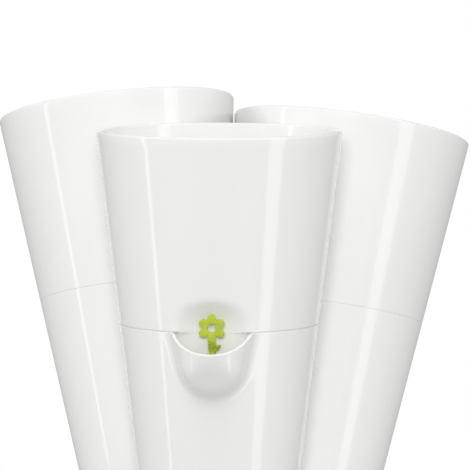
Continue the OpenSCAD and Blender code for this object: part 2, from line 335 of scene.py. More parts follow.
def within_half_turn(turn):
    """Angles brought to within half a turn either way."""
    return (turn + math.pi) % (2 * math.pi) - math.pi


def quarter(count):
    """Steps round a quarter turn: one share falls from 1 to 0 while the other grows from 0 to 1."""
    return [(1 - math.sin(a), 1 - math.cos(a)) for a in np.linspace(0.0, math.pi / 2, count)]


def arc(centre, radius, start, end, count):
    """Points on an arc, as radius and height."""
    angles = np.linspace(start, end, count)
    return [(centre[0] + radius * math.cos(a), centre[1] + radius * math.sin(a)) for a in angles]


def keyed(turn, radius, flat):
    """A round outline, cut back to the key flat behind the axis."""
    behind = -np.cos(turn)
    cut = np.where(behind > TINY, flat / np.maximum(behind, TINY), radius)
    return np.minimum(radius, cut)


def ring_points(turn, rings):
    """Points of a stack of rings, each a radius and a height for every direction."""
    layers = []
    for radius, height in rings:
        radius = np.zeros_like(turn) + radius
        height = np.zeros_like(turn) + height
        layers.append(np.stack([radius * np.sin(turn), -radius * np.cos(turn), height], axis=1))
    return np.array(layers)


def fan(edge, height, shares):
    """Rings that run between the middle and an edge on one level."""
    return [(edge * share, height) for share in shares]


def clear_selection():
    """Leaves nothing selected, so that an operator acts on the new piece alone."""
    if bpy.context.object is not None and bpy.context.object.mode != "OBJECT":
        bpy.ops.object.mode_set(mode="OBJECT")
    bpy.ops.object.select_all(action="DESELECT")


def pick(piece):
    """Selects one piece alone."""
    clear_selection()
    piece.select_set(True)
    bpy.context.view_layer.objects.active = piece


def named(piece, name):
    """Gives a piece and its mesh one name."""
    piece.name = name
    piece.data.name = name
    return piece


def close_up(piece, merge):
    """Merges doubles, drops faces with no area and turns all faces outward."""
    bpy.ops.object.mode_set(mode="EDIT")
    bpy.ops.mesh.select_all(action="SELECT")
    bpy.ops.mesh.remove_doubles(threshold=merge)
    bpy.ops.mesh.dissolve_degenerate(threshold=merge)
    bpy.ops.mesh.select_all(action="SELECT")
    bpy.ops.mesh.normals_make_consistent(inside=False)
    bpy.ops.object.mode_set(mode="OBJECT")
    return piece


def smooth(piece, degrees=40.0):
    """Shades a piece smooth across all but its sharp edges."""
    pick(piece)
    bpy.ops.object.shade_smooth_by_angle(angle=math.radians(degrees))
    return piece


def wrapped_grid(name, points):
    """A grid whose rows and columns are wrapped to the given points and closed."""
    rows, columns = points.shape[:2]
    clear_selection()
    bpy.ops.mesh.primitive_grid_add(x_subdivisions=columns - 1, y_subdivisions=rows - 1, size=1)
    piece = named(bpy.context.object, name)
    flat = np.empty(len(piece.data.vertices) * 3)
    piece.data.vertices.foreach_get("co", flat)
    flat = flat.reshape(-1, 3)
    column = np.rint((flat[:, 0] + 0.5) * (columns - 1)).astype(int)
    row = np.rint((flat[:, 1] + 0.5) * (rows - 1)).astype(int)
    piece.data.vertices.foreach_set("co", points[row, column].ravel())
    piece.data.update()
    return smooth(close_up(piece, FINE_WELD))


def turned_piece(name, profile, steps=96):
    """A closed profile of radius and height, turned round the upright axis."""
    clear_selection()
    bpy.ops.mesh.primitive_circle_add(vertices=len(profile), radius=START_R, fill_type="NOTHING")
    piece = named(bpy.context.object, name)
    for vertex, (radius, height) in zip(piece.data.vertices, profile):
        vertex.co = (radius, 0.0, height)
    bpy.ops.object.mode_set(mode="EDIT")
    bpy.ops.mesh.select_all(action="SELECT")
    bpy.ops.mesh.spin(steps=steps, angle=2 * math.pi, center=(0, 0, 0), axis=(0, 0, 1))
    bpy.ops.object.mode_set(mode="OBJECT")
    return smooth(close_up(piece, WELD))


def shifted(piece, x, y, z):
    """Moves a piece's mesh, so that its object stays at the origin."""
    piece.data.transform(Matrix.Translation((x, y, z)))
    return piece


def joined(pieces, name):
    """Joins pieces into the first one."""
    pick(pieces[0])
    for piece in pieces[1:]:
        piece.select_set(True)
    bpy.ops.object.join()
    return named(pieces[0], name)


def with_modifier(piece, kind, **settings):
    """Adds one modifier and applies it."""
    pick(piece)
    modifier = piece.modifiers.new(kind.title(), kind)
    for key, value in settings.items():
        setattr(modifier, key, value)
    bpy.ops.object.modifier_apply(modifier=modifier.name)
    return piece


def in_each_pot(n, first, kind, body, material, node, pots=POTS):
    """Copies an upright piece into the pots, with its own mesh in each, and drops the first."""
    first.data.materials.clear()
    first.data.materials.append(material)
    made = []
    for pot in pots:
        piece = first.copy()
        piece.data = first.data.copy()
        named(piece, f"{pot}_{kind}")
        piece.data.transform(n.place(POTS.index(pot)))
        bpy.context.scene.collection.objects.link(piece)
        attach(piece, f"{pot}_{body}")
        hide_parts(f"{pot}_{node}")
        made.append(piece)
    bpy.data.objects.remove(first)
    return made


class Surface:
    """A material's shader, and the textures on the piece's own coordinates that feed it."""

    def __init__(self, material, tint):
        material.use_nodes = True
        self.tree = material.node_tree
        self.shader = self.tree.nodes["Principled BSDF"]
        self.tint = tint
        self.normal = None

    def node(self, kind, values=None):
        """A new node with some of its inputs set."""
        made = self.tree.nodes.new(kind)
        for key, value in (values or {}).items():
            made.inputs[key].default_value = value
        return made

    def link(self, source, target):
        """Runs one node's output into another's input."""
        self.tree.links.new(source, target)

    def fixed(self, name, value):
        """Sets one of the shader's own values."""
        self.shader.inputs[name].default_value = value

    def coordinates(self):
        """Places on the piece, in metres."""
        return self.node("ShaderNodeTexCoord").outputs["Object"]

    def noise(self, scale, detail, stretch=(1.0, 1.0, 1.0), roughness=0.5):
        """Noise in features per metre."""
        mapping = self.node("ShaderNodeMapping", {"Scale": stretch})
        noise = self.node("ShaderNodeTexNoise", {"Scale": scale, "Detail": detail, "Roughness": roughness})
        self.link(self.coordinates(), mapping.inputs["Vector"])
        self.link(mapping.outputs["Vector"], noise.inputs["Vector"])
        return noise.outputs["Fac"]

    def ranged(self, factor, low, high, start=0.3, end=0.7):
        """A number that runs between two values."""
        limits = {"From Min": start, "From Max": end, "To Min": low, "To Max": high}
        spread = self.node("ShaderNodeMapRange", limits)
        self.link(factor, spread.inputs["Value"])
        return spread.outputs["Result"]

    def colours(self, factor, dark, light, start=0.3, end=0.7):
        """Runs the base colour between a darker and a lighter share of the tint."""
        ramp = self.node("ShaderNodeValToRGB")
        for element, place, share in zip(ramp.color_ramp.elements, (start, end), (dark, light)):
            element.position = place
            element.color = (*(min(1.0, c * share) for c in self.tint), 1.0)
        self.link(factor, ramp.inputs["Fac"])
        self.link(ramp.outputs["Color"], self.shader.inputs["Base Color"])

    def gloss(self, factor, low, high):
        """Runs the roughness between two values."""
        self.link(self.ranged(factor, low, high), self.shader.inputs["Roughness"])

    def bumps(self, height, strength, distance):
        """Lays a bump over those before it."""
        bump = self.node("ShaderNodeBump", {"Strength": strength, "Distance": distance})
        self.link(height, bump.inputs["Height"])
        if self.normal is not None:
            self.link(self.normal, bump.inputs["Normal"])
        self.normal = bump.outputs["Normal"]
        self.link(self.normal, self.shader.inputs["Normal"])


def glossy_white(surface):
    """Moulded white plastic: faint flow marks, an uneven gloss and a fine orange peel."""
    flow = surface.noise(scale=26.0, detail=3.0, stretch=(1.0, 1.0, 0.35))
    surface.colours(flow, dark=0.985, light=1.01)
    haze = surface.noise(scale=70.0, detail=4.0)
    surface.gloss(haze, low=0.07, high=0.11)
    peel = surface.noise(scale=1100.0, detail=2.0)
    surface.bumps(peel, strength=0.04, distance=0.0001)
    surface.fixed("IOR", 1.5)


def lime_plastic(surface):
    """Tinted glossy plastic with a slight marbling."""
    swirl = surface.noise(scale=180.0, detail=4.0)
    surface.colours(swirl, dark=0.93, light=1.05)
    haze = surface.noise(scale=400.0, detail=3.0)
    surface.gloss(haze, low=0.22, high=0.34)
    peel = surface.noise(scale=1500.0, detail=2.0)
    surface.bumps(peel, strength=0.06, distance=0.0001)
    surface.fixed("IOR", 1.5)


def wick_felt(surface):
    """Needled felt: matted fibres over a soft mottle."""
    mottle = surface.noise(scale=220.0, detail=6.0, roughness=0.7)
    surface.colours(mottle, dark=0.8, light=1.14)
    for stretch in ((1.0, 0.12, 0.5), (0.12, 1.0, 0.5)):
        fibre = surface.noise(scale=900.0, detail=6.0, stretch=stretch, roughness=0.65)
        surface.bumps(fibre, strength=0.7, distance=0.0008)
    fuzz = surface.noise(scale=500.0, detail=4.0)
    surface.gloss(fuzz, low=0.85, high=1.0)
    surface.fixed("Sheen Weight", 0.35)
    surface.fixed("Sheen Roughness", 0.6)
    surface.fixed("Specular IOR Level", 0.2)


def bead_foam(surface):
    """Moulded foam of small beads with fine joints between them."""
    cells = surface.node("ShaderNodeTexVoronoi", {"Scale": 420.0})
    cells.feature = "DISTANCE_TO_EDGE"
    surface.link(surface.coordinates(), cells.inputs["Vector"])
    joint = surface.ranged(cells.outputs["Distance"], low=0.0, high=1.0, start=0.0, end=0.22)
    surface.colours(joint, dark=0.82, light=1.0, start=0.0, end=0.6)
    surface.bumps(joint, strength=0.5, distance=0.0004)
    haze = surface.noise(scale=300.0, detail=3.0)
    surface.gloss(haze, low=0.55, high=0.75)


def frosted_grey(surface):
    """Satin grey plastic that lets a little light through."""
    cloud = surface.noise(scale=90.0, detail=4.0)
    surface.colours(cloud, dark=0.94, light=1.05)
    haze = surface.noise(scale=260.0, detail=4.0)
    surface.gloss(haze, low=0.30, high=0.45)
    grain = surface.noise(scale=1400.0, detail=2.0)
    surface.bumps(grain, strength=0.1, distance=0.0001)
    surface.fixed("Transmission Weight", 0.3)


def pale_floor(surface):
    """Plain pale floor with a barely uneven sheen."""
    cloud = surface.noise(scale=3.0, detail=4.0)
    surface.colours(cloud, dark=0.985, light=1.01)
    surface.gloss(cloud, low=0.6, high=0.75)


def kept_material(maker, tint):
    """A material that is made once, named after its maker, and then shared."""
    found = bpy.data.materials.get(maker.__name__)
    if found is None:
        found = bpy.data.materials.new(maker.__name__)
        maker(Surface(found, tuple(tint)))
    return found


def pot_shell(n, seam_slot, seam_edge):
    """The planting pot as one closed wall: spigot, seam, skin, rim, inside and floor."""
    s, p = n.s, n.p
    turn = turns(coarse=0.035, spans=[(0.52, 0.0095)])
    spigot_edge, slot_deep, corner = 0.0006, 0.0008, 0.002
    brow = n.seam + seam_slot
    step_low, step_z = n.seam - 0.001, n.seam + 0.007
    skin_z, skin_step = brow + 0.0008, 0.00045
    back_z, back_step = n.seam + 0.029, 0.0009
    hollow_top, plain_z = n.seam + 0.027, n.seam + 0.030
    round_z = n.total - s.wall / 2
    foot_r = n.spigot_r(n.spigot_z) - spigot_edge
    under = pressed_r(n, turn, foot_r, n.spigot_z, 0.0, p.hollow_soft)
    rings = fan(under, n.spigot_z, (0.0, 0.2, 0.4, 0.6, 0.8, 0.92, 1.0))

    def outer(base, z):
        """Adds a ring of the outside."""
        rings.append((pressed_r(n, turn, base, z, 0.0, p.hollow_soft), z))

    def inner(base, z):
        """Adds a ring of the inside, one wall behind the hollow."""
        rings.append((pressed_r(n, turn, base, z, s.wall, p.hollow_soft + s.wall), z))

    for z in np.linspace(n.spigot_z + spigot_edge, n.seam, 22):
        outer(n.spigot_r(z), z)
    outer(n.seam_r - slot_deep, n.seam)
    outer(n.seam_r - slot_deep, brow)
    for inward, up in quarter(4):
        z = brow + seam_edge * up
        outer(n.skin_r(z) - seam_edge * inward, z)
    for z in np.arange(skin_z, hollow_top, skin_step):
        outer(n.skin_r(z), z)
    for z in np.linspace(plain_z, round_z, 16):
        outer(n.skin_r(z), z)
    lip_r = n.skin_r(round_z) - s.wall / 2
    for r, z in arc((lip_r, round_z), s.wall / 2, 0.0, math.pi, 13)[1:-1]:
        outer(r, z)
    for z in np.linspace(round_z, plain_z, 12):
        inner(n.skin_r(z) - s.wall, z)
    for z in np.arange(back_z, step_z, -back_step):
        inner(n.skin_r(z) - s.wall, z)
    high, low = n.skin_r(step_z) - s.wall, n.spigot_r(n.seam) - s.wall
    for share in np.linspace(0.0, 1.0, 9):
        inner(high + (low - high) * ease(share, 0.0, 1.0), step_z + (n.seam - step_z) * share)
    for z in np.linspace(step_low, n.soil_z + corner, 9):
        inner(n.spigot_r(z) - s.wall, z)
    floor_r = n.spigot_r(n.soil_z) - s.wall
    for up, inward in quarter(5)[1:]:
        inner(floor_r - corner * inward, n.soil_z + corner * up)
    rings += fan(rings[-1][0], n.soil_z, (0.92, 0.8, 0.6, 0.4, 0.2, 0.0))
    return wrapped_grid("pot_shell", ring_points(turn, rings))


def cut_pot_floor(n, shell):
    """Cuts the wick slots and drain holes through the pot's floor."""
    w = n.w
    slot_gap = 0.0005
    drain_r, drain_at = 0.002, 0.027
    # The drains are turned a little, so that none of their corners lies on an edge of the floor.
    drain_turn = 0.083
    middle = n.spigot_z + n.s.pot_floor / 2
    deep = n.s.pot_floor * 3
    cutters = []
    for side in (-1, 1):
        clear_selection()
        bpy.ops.mesh.primitive_cube_add(size=1, location=(side * w.strip_x, w.strip_y, middle))
        cutter = bpy.context.object
        cutter.scale = (w.strip_t + 2 * slot_gap, w.strip_w + 2 * slot_gap, deep)
        cutters.append(cutter)
    for degrees in (60, 90, 120, 240, 270, 300):
        a = math.radians(degrees)
        clear_selection()
        bpy.ops.mesh.primitive_cylinder_add(
            vertices=32,
            radius=drain_r,
            depth=deep,
            location=(drain_at * math.cos(a), drain_at * math.sin(a), middle),
            rotation=(0.0, 0.0, drain_turn),
        )
        cutters.append(bpy.context.object)
    for cutter in cutters:
        cutter.select_set(True)
    bpy.ops.object.transform_apply(location=True, rotation=True, scale=True)
    tool = joined(cutters, "floor_cutter")
    with_modifier(shell, "BOOLEAN", operation="DIFFERENCE", object=tool, solver="EXACT")
    bpy.data.objects.remove(tool)
    return smooth(close_up(shell, WELD))


def cage_seat(n):
    """The ring on the tank's floor that holds the float cage."""
    edge = 0.0006
    low, high = n.tank_floor - n.s.wall / 2, n.tank_floor + n.ring_h
    inner, outer = n.ring_r, n.ring_r + n.ring_wall
    outline = [(inner, low), (outer, low)]
    outline += arc((outer - edge, high - edge), edge, 0.0, math.pi / 2, 4)
    outline += arc((inner + edge, high - edge), edge, math.pi / 2, math.pi, 4)
    return shifted(turned_piece("cage_seat", outline), 0.0, -n.cage_y, 0.0)


def tank_shell(n, seam_edge):
    """The water tank as one closed wall: foot, skin with its scoop, lip, inside and floor."""
    s, p = n.s, n.p
    turn = turns(coarse=0.035, spans=[(0.28, 0.0095), (0.46, 0.0045), (0.56, 0.0095)])
    edge, corner = 0.0008, 0.0015
    lip_soft, lip_reach, lip_run = 0.002, 0.036, 0.004
    flat_power, round_power = 5.0, 2.0

    def skin(z):
        """Outer radius, with the scoop."""
        return swollen_r(n, turn, n.skin_r(z), z, 0.0)

    def inside(z):
        """Inner radius, with the scoop."""
        return swollen_r(n, turn, n.skin_r(z) - s.wall, z, p.scoop_wall)

    def lip_level(wall):
        """Height, in every direction, at which the sloping lip ends a wall."""

        def above(z):
            out = wall(z) * np.cos(turn) - n.seam_r
            return z - n.seam + math.tan(p.lip_slope) * soft_max(out, 0.0 * out, lip_soft)

        low = np.full_like(turn, n.seam - lip_reach)
        return crossing(above, low, np.full_like(turn, n.seam + TINY))

    top_out, top_in = lip_level(skin), lip_level(inside)
    scooped = ease(n.seam - top_out, 0.0, lip_run)
    round_h = seam_edge + (p.scoop_wall / 2 - seam_edge) * scooped
    foot = keyed(turn, n.foot_r, n.key_y)
    rings = fan(foot - edge, -s.foot_h, (0.0, 0.3, 0.6, 0.85, 1.0))
    rings += [(foot - edge * inward, -s.foot_h + edge * up) for inward, up in quarter(4)[1:]]
    rings += [(foot, -s.foot_h / 2), (foot, 0.0)]
    for inward, up in quarter(4):
        z = s.edge * up
        rings.append((n.skin_r(z) - s.edge * inward, z))
    # The levels lie close together where the scoop's round end runs into the skin.
    start = s.edge
    plain_z, swell_z, tip_z, bowl_z = (n.seam - deep for deep in (0.046, 0.045, 0.034, 0.024))
    swell_step, tip_step = 0.001, 0.00028
    levels = [*np.linspace(start, plain_z, 9)[1:]]
    levels += [*np.arange(swell_z, tip_z, swell_step)]
    levels += [*np.arange(tip_z, bowl_z, tip_step)]
    levels += [*np.linspace(bowl_z, n.seam, 52)]
    for level in levels:
        z = start + (top_out - round_h - start) * (level - start) / (n.seam - start)
        rings.append((skin(z), z))
    outside = ring_points(turn, rings)
    low_out, low_in = top_out - round_h, top_in - round_h
    lip_out, lip_in = ring_points(turn, [(skin(low_out), low_out), (inside(low_in), low_in)])
    slope = p.lip_slope * scooped
    lip_up = np.stack([np.zeros_like(turn), -np.sin(slope), np.cos(slope)], axis=1)
    power = flat_power - (flat_power - round_power) * scooped
    lip = []
    for share in (1 - np.cos(np.linspace(0.0, math.pi, 15)[1:-1])) / 2:
        cap = (1 - np.abs(2 * share - 1) ** power) ** (1 / power)
        between = lip_out + (lip_in - lip_out) * share
        lip.append(between + lip_up * (round_h * cap)[:, None])
    rings = []
    bottom = s.wall
    for level in levels[::-2]:
        z = bottom + (top_in - round_h - bottom) * (level - start) / (n.seam - start)
        rings.append((inside(z), z))
    shelf = n.skin_r(bottom) - s.wall
    rings += [(shelf - corner * inward, bottom + corner * up) for up, inward in quarter(4)]
    well = keyed(turn, n.foot_r - s.wall, n.key_y - s.wall)
    rings += [(well + edge * outward, bottom - edge * down) for outward, down in quarter(4)]
    rings.append((well, n.tank_floor + corner))
    rings += [(well - corner * inward, n.tank_floor + corner * up) for up, inward in quarter(4)[1:]]
    rings += fan(well - corner, n.tank_floor, (0.85, 0.6, 0.3, 0.0))
    shell = wrapped_grid("tank_shell", np.concatenate([outside, lip, ring_points(turn, rings)]))
    return joined([shell, cage_seat(n)], "tank_shell")


def flower_head(n):
    """The flower: six oval petals about a hole, with soft edges and a slight dome."""
    g = n.g
    petal_l, petal_w = g.flower_r * 0.432, g.flower_r * 0.325
    petal_at = g.flower_r - petal_l
    petal_turn, petal_soft = 1.2, 0.0006
    turn = np.linspace(-math.pi, math.pi, 217)
    reach = np.full_like(turn, g.flower_r * 0.5)
    for petal in range(6):
        off = within_half_turn(turn - math.radians(60 * petal))
        a = (np.cos(off) / petal_l) ** 2 + (np.sin(off) / petal_w) ** 2
        b = petal_at * np.cos(off) / petal_l**2
        inside = b**2 - a * ((petal_at / petal_l) ** 2 - 1)
        far = (b + np.sqrt(np.maximum(inside, 0.0))) / a
        far = np.where((inside > 0) & (np.abs(off) < petal_turn), far, 0.0)
        reach = soft_max(reach, far, petal_soft)
    reach = np.minimum(reach, g.flower_r)
    half, soft, rim, dome = g.thick / 2, 0.0008, 0.0005, 0.00022
    rings = [(reach - soft * inward, half - soft * deep) for inward, deep in quarter(5)]
    rings += [(reach - soft * inward, -half + soft * deep) for deep, inward in quarter(6)]
    for share in np.linspace(0.0, 1.0, 9)[1:-1]:
        radius = (reach - soft) + (g.hole_r + rim - reach + soft) * share
        rings.append((radius, -half - dome * math.sin(math.pi * share)))
    rings += [(g.hole_r + rim * outward, -half + rim * deep) for outward, deep in quarter(4)]
    rings += [(g.hole_r + rim * outward, half - rim * deep) for deep, outward in quarter(4)]
    rings += [((g.hole_r + rim + reach - soft) / 2, half), (reach - soft, half)]
    lying = ring_points(turn, rings)
    upright = np.stack([lying[..., 0], lying[..., 2], -lying[..., 1]], axis=-1)
    return shifted(wrapped_grid("flower", upright), 0.0, -n.flower_y, n.seam + g.flower_up)


def gauge_stem(n):
    """The cranked stem and its arm: a side outline pulled to width, tapered and rounded."""
    g = n.g
    half = n.gauge_half
    bend, edge = 0.0015, 0.0006
    top = g.flower_up - g.flower_r * 0.5
    level = np.linspace(n.slant_z + bend, n.stem_z - bend, 15)
    middle = -n.flower_y + (n.flower_y - n.stem_y) * ease(-level, -level[0], -level[-1])
    slope = np.arctan(np.gradient(middle, -level))
    bend_y, bend_z = half * np.cos(slope), half * np.sin(slope)
    outline = [(-n.flower_y - half, top)]
    outline += list(zip(middle - bend_y, level - bend_z))
    outline += [
        (-n.stem_y - half, n.arm_z),
        (-n.cage_y + n.peg_r, n.arm_z),
        (-n.cage_y + n.peg_r, n.arm_z + n.arm_t),
        (-n.stem_y + half, n.arm_z + n.arm_t),
    ]
    outline += list(zip(middle + bend_y, level + bend_z))[::-1]
    outline.append((-n.flower_y + half, top))
    clear_selection()
    bpy.ops.mesh.primitive_circle_add(vertices=len(outline), radius=START_R, fill_type="NGON")
    stem = named(bpy.context.object, "stem")
    for vertex, (y, z) in zip(stem.data.vertices, outline):
        vertex.co = (-g.stem_w / 2, y, z)
    bpy.ops.object.mode_set(mode="EDIT")
    bpy.ops.mesh.select_all(action="SELECT")
    bpy.ops.mesh.extrude_region_move(TRANSFORM_OT_translate={"value": (g.stem_w, 0.0, 0.0)})
    bpy.ops.mesh.select_all(action="SELECT")
    bpy.ops.mesh.normals_make_consistent(inside=False)
    bpy.ops.object.mode_set(mode="OBJECT")
    for vertex in stem.data.vertices:
        share = min(1.0, max(0.0, (top - vertex.co.z) / (top - n.stem_z)))
        vertex.co.x *= (g.stem_w + (g.stem_low_w - g.stem_w) * share) / g.stem_w
    sharp = math.radians(25)
    with_modifier(stem, "BEVEL", width=edge, segments=3, limit_method="ANGLE", angle_limit=sharp)
    return shifted(smooth(stem, degrees=50.0), 0.0, 0.0, n.seam)


def gauge_leaf(n):
    """One pointed leaf on the slanting stem, domed along its middle."""
    g = n.g
    clear_selection()
    bpy.ops.mesh.primitive_uv_sphere_add(segments=40, ring_count=28, radius=1.0)
    leaf = named(bpy.context.object, "leaf")
    middle, widest = g.leaf_l / 2, g.leaf_w / 2
    arc_r = (middle**2 + widest**2) / g.leaf_w
    sag = arc_r - widest
    slope = math.radians(42)
    fullness, flatness, swell = 0.5, 0.6, 1.3
    foot_z = n.slant_z - g.leaf_down
    for vertex in leaf.data.vertices:
        along = middle * (1 + vertex.co.z)
        half_w = max(0.0, math.sqrt(arc_r**2 - (along - middle) ** 2) - sag)
        ring = math.hypot(vertex.co.x, vertex.co.y)
        side = vertex.co.x / ring if ring > TINY else 0.0
        face = vertex.co.y / ring if ring > TINY else 0.0
        across = side * half_w
        body = (half_w / widest) ** fullness
        deep = math.copysign(abs(face) ** flatness, face) * body * n.gauge_half
        x = along * math.cos(slope) - across * math.sin(slope)
        z = foot_z + along * math.sin(slope) + across * math.cos(slope)
        y = -max(n.stem_y, n.flower_y - max(0.0, n.slant_z - z))
        vertex.co = (x, y + deep * swell, n.seam + z)
    leaf.data.update()
    return smooth(close_up(leaf, WELD), degrees=60.0)


def gauge_peg(n):
    """The peg that holds the float, with a rounded tip."""
    tip = 0.0008
    low, high = n.arm_z - n.peg_l, n.arm_z + n.arm_t
    lower = arc((n.peg_r - tip, low + tip), tip, -math.pi / 2, 0.0, 4)
    upper = arc((n.peg_r - tip, high - tip), tip, 0.0, math.pi / 2, 4)
    peg = turned_piece("peg", [(0.0, low), *lower, *upper, (0.0, high)], steps=48)
    return shifted(peg, 0.0, -n.cage_y, n.seam)


def foam_float(n):
    """The float: a round-edged foam drum with a blind bore for the peg."""
    g = n.g
    edge, lead, peg_gap, end_gap = 0.0025, 0.0006, 0.0001, 0.001
    bore = n.peg_r + peg_gap
    low, high = n.arm_z - g.float_h, n.arm_z
    deep = high - n.peg_l - end_gap
    outline = [(0.0, low)]
    outline += arc((g.float_r - edge, low + edge), edge, -math.pi / 2, 0.0, 7)
    outline += arc((g.float_r - edge, high - edge), edge, 0.0, math.pi / 2, 7)
    outline += [(bore + lead, high), (bore, high - lead), (bore, deep), (0.0, deep)]
    return shifted(turned_piece("float", outline, steps=72), 0.0, -n.cage_y, n.seam)


def felt_mat(n):
    """A felt disc, cut round the wall of the hollow, lying a little unevenly on the pot's floor."""
    turn = turns(coarse=0.05, spans=[(0.5, 0.02)])
    floor_gap, notch_soft, edge = 0.00005, 0.002, 0.0009
    fray, dent, settled = 0.0002, 0.00022, 0.0003
    low, high = n.soil_z + floor_gap, n.soil_z + n.w.mat_t
    cut = pressed_r(n, turn, n.mat_r, low, n.s.wall + n.felt_play, notch_soft)
    rim = cut - fray * (1 + np.sin(37 * turn) * np.cos(61 * turn + 1.0))
    rings = fan(rim - edge, low, (0.0, 0.25, 0.5, 0.75, 0.9, 1.0))
    rings += [(rim - edge * inward, low + edge * up) for inward, up in quarter(4)[1:]]
    rings += [(rim - edge * inward, high - edge * down) for down, inward in quarter(4)[:-1]]
    for share in (1.0, 0.95, *np.linspace(0.9, 0.0, 19)):
        radius = (rim - edge) * share
        x, y = radius * np.sin(turn), -radius * np.cos(turn)
        dip = dent * (np.sin(210 * x + 1.3) * np.cos(170 * y) + np.sin(95 * y + 260 * x) * 0.6)
        inland = min(1.0, 4 * share * (1.05 - share) + 0.1)
        rings.append((radius, high - settled + dip * inland))
    return wrapped_grid("felt_mat", ring_points(turn, rings))


def felt_strip(n, side):
    """A felt strip through the floor slot, waving a little below it, with a worn lower end."""
    w = n.w
    top, low = n.soil_z, n.tank_floor + w.strip_up
    slot_end, free_run = n.spigot_z - 0.002, 0.02
    sway, sway_twist, wear, frill_h = 0.0009, 0.03, 0.06, 0.0006
    squareness = 5.0
    levels = 90
    around = np.linspace(-math.pi, math.pi, 41)
    cos, sin = np.cos(around), np.sin(around)
    across = np.sign(cos) * np.abs(cos) ** (2 / squareness)
    over = np.sign(sin) * np.abs(sin) ** (2 / squareness)
    shares = (0.0, *np.linspace(0.0, 1.0, levels), 1.0)
    spreads = (0.0, *[1.0] * levels, 0.0)
    rows = []
    for share, spread in zip(shares, spreads):
        z = low + (top - low) * share
        free = float(ease(slot_end - z, 0.0, free_run))
        wave = free * sway * math.sin(150 * z + 1.1 * side) * (0.6 + 0.4 * math.sin(61 * z))
        twist = free * sway_twist * math.sin(70 * z + side)
        worn = 1.0 - wear * max(0.0, 1.0 - share * 14)
        x = over * w.strip_t / 2 * worn * spread
        y = across * w.strip_w / 2 * worn * spread
        frill = frill_h * (1 - min(1.0, share * 20)) * np.sin(5 * around) * spread
        row = np.stack([x + wave + twist * y, y, z + np.abs(frill)], axis=1)
        rows.append(row + np.array([side * w.strip_x, w.strip_y, 0.0]))
    return wrapped_grid("felt_strip", np.array(rows))


def socket_shell(n, index):
    """One keyed socket, standing on the base plate, with its skirt hollow below."""
    s = n.s
    turn = turns(coarse=0.03, spans=[(0.5, 0.03)])
    downhill = np.cos(turn + n.own_turn(index))
    lead, seat_edge, seat_corner, skirt_least = 0.0006, 0.0003, 0.0002, 0.00001

    def on_plate(inset):
        """Height, in the pot's frame, where the wall meets the top of the base plate."""
        base = n.skin_r(0.0) - inset
        rise = s.plate_t - n.lift(index) + math.sin(n.lean) * downhill * base
        return rise / (math.cos(n.lean) - math.sin(n.lean) * downhill * n.tan_taper)

    seat = -s.foot_h - s.fit_gap
    roof = seat - s.stand_floor
    core = n.skin_r(roof) - s.stand_wall
    rings = fan(core, roof, (0.0, 0.4, 0.8, 1.0))
    low_in = np.minimum(on_plate(s.stand_wall), roof - skirt_least)
    rings.append((n.skin_r(low_in) - s.stand_wall, low_in))
    low_out = on_plate(0.0)
    rings.append((n.skin_r(low_out) - s.edge, low_out))
    rings.append((n.skin_r(low_out + s.edge), low_out + s.edge))
    for share in np.linspace(0.1, 1.0, 10):
        z = low_out + s.edge + (-s.edge - low_out - s.edge) * share
        rings.append((n.skin_r(z), z))
    for down, inward in quarter(4)[1:]:
        z = -s.edge * down
        rings.append((n.skin_r(z) - s.edge * inward, z))
    bore = keyed(turn, n.foot_r + s.fit_gap, n.key_y + s.fit_gap)
    rings += [(bore + lead * outward, -lead * down) for outward, down in quarter(4)]
    rings.append((bore, seat + seat_edge))
    rings += fan(bore - seat_corner, seat, (1.0, 0.8, 0.4, 0.0))
    shell = wrapped_grid("socket_shell", ring_points(turn, rings))
    shell.data.transform(n.place(index))
    return shell


def plate_shell(n):
    """The base plate: three lobes run softly into a round middle, with rounded edges."""
    s = n.s
    edge, foot = 0.0008, 0.0003
    lobe_turn, lobe_soft = 1.4, 0.006
    turn = np.linspace(-math.pi, math.pi, 289)
    reach = np.full_like(turn, s.plate_mid_r)
    for index in range(len(POTS)):
        lift = n.lift(index)
        at = n.foot_circle - lift * math.tan(n.lean)
        lobe = n.skin_r(-lift / math.cos(n.lean)) / math.cos(n.lean) + s.plate_lip
        off = within_half_turn(turn - math.radians(120 * index))
        inside = lobe**2 - (at * np.sin(off)) ** 2
        far = at * np.cos(off) + np.sqrt(np.maximum(inside, 0.0))
        far = np.where((inside > 0) & (np.abs(off) < lobe_turn), far, 0.0)
        reach = soft_max(reach, far, lobe_soft)
    rings = fan(reach - foot, 0.0, (0.0, 0.25, 0.5, 0.75, 1.0))
    rings.append((reach, foot))
    rings += [(reach - edge * inward, s.plate_t - edge * down) for down, inward in quarter(5)]
    rings += fan(reach - edge, s.plate_t, (0.75, 0.5, 0.25, 0.0))
    return wrapped_grid("plate_shell", ring_points(turn, rings))


class PLANTER_OT_pots(bpy.types.Operator):
    """Makes the three planting pots"""

    bl_idname = "planter.pots"
    bl_label = "Planting pots"

    def execute(self, context):
        n = Layout(context.scene)
        s = n.s
        white = kept_material(glossy_white, context.scene.planter_finish.white)
        for pots, slot, edge in ((POTS[:1], s.seam_slot, s.edge), (POTS[1:], s.rear_slot, s.rear_edge)):
            shell = cut_pot_floor(n, pot_shell(n, slot, edge))
            in_each_pot(n, shell, "planting_pot", "planter", white, "pot", pots)
        return {"FINISHED"}


class PLANTER_OT_tanks(bpy.types.Operator):
    """Makes the three water tanks with their fill scoops"""

    bl_idname = "planter.tanks"
    bl_label = "Water tanks"

    def execute(self, context):
        n = Layout(context.scene)
        white = kept_material(glossy_white, context.scene.planter_finish.white)
        for pots, edge in ((POTS[:1], n.s.edge), (POTS[1:], n.s.rear_edge)):
            shell = tank_shell(n, edge)
            in_each_pot(n, shell, "water_tank", "tank", white, "reservoir", pots)
        return {"FINISHED"}


